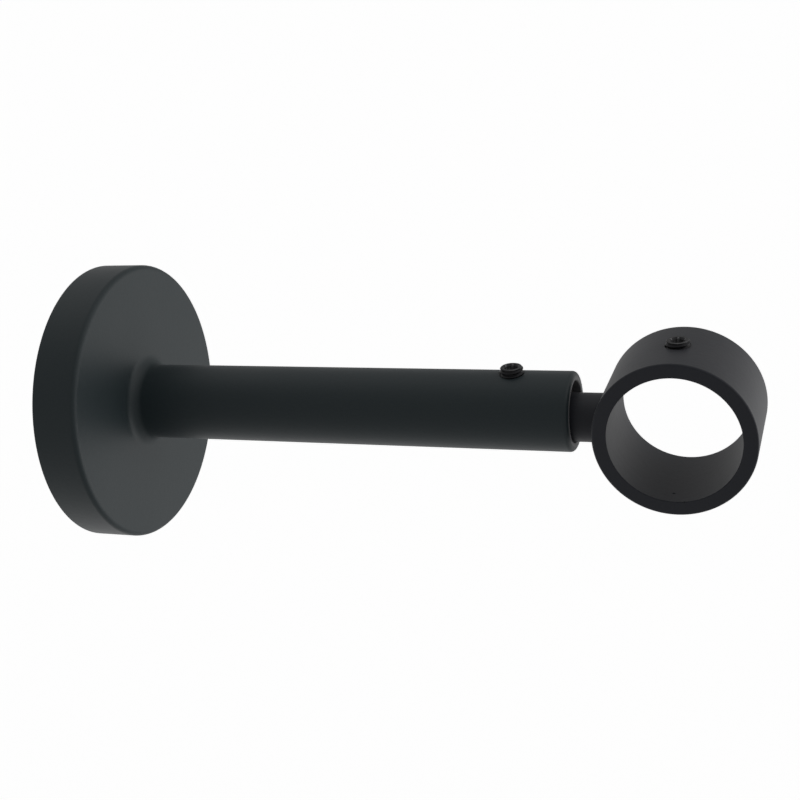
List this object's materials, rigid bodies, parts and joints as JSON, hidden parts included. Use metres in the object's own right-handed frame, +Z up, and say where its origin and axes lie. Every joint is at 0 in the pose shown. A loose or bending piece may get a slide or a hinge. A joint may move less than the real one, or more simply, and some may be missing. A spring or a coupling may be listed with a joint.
{
  "type": "curtain pole bracket",
  "caption": "Wall bracket for a curtain pole: round rose and hollow arm, a stem that slides and turns in it, and a ring for the pole, each held by a grub screw.",
  "frame": {"origin": "centre of the back of the wall plate, on the wall and on the axis of the arm", "axes": "+X along the arm, away from the wall; +Y along the pole; +Z up, with the arm's and the ring's grub screws on top"},
  "size_m": [0.1444, 0.061, 0.061],
  "materials": {
    "black_coat": "fine matt black powder coat",
    "plate_steel": "thin black paint on pressed steel",
    "screw_steel": "blackened steel, slightly oily"
  },
  "bodies": {
    "arm": {"rose_and_arm": "black_coat", "wall_plate": "plate_steel"},
    "stem": {"stem": "black_coat"},
    "ring": {"pole_ring": "black_coat"},
    "arm_screw": {"arm_lock_screw": "screw_steel"},
    "ring_screw": {"ring_lock_screw": "screw_steel"},
    "base_screw": {"base_lock_screw": "screw_steel"}
  },
  "joints": [
    {"name": "projection", "type": "slide", "parent": "arm", "child": "stem", "axis": [1, 0, 0], "range_m": [-0.0045, 0.045]},
    {"name": "ring_turn", "type": "hinge", "parent": "stem", "child": "ring", "pos_m": [0.1137, 0, -0.0012], "axis": [1, 0, 0], "continuous": true},
    {"name": "arm_lock", "type": "slide", "parent": "arm", "child": "arm_screw", "axis": [0, 0, 1], "range_m": [0, 0.0024]},
    {"name": "ring_lock", "type": "slide", "parent": "ring", "child": "ring_screw", "axis": [0, 0, 1], "range_m": [-0.001, 0.001]},
    {"name": "base_lock", "type": "slide", "parent": "arm", "child": "base_screw", "axis": [0, 0, -1], "range_m": [0, 0.002]}
  ]
}
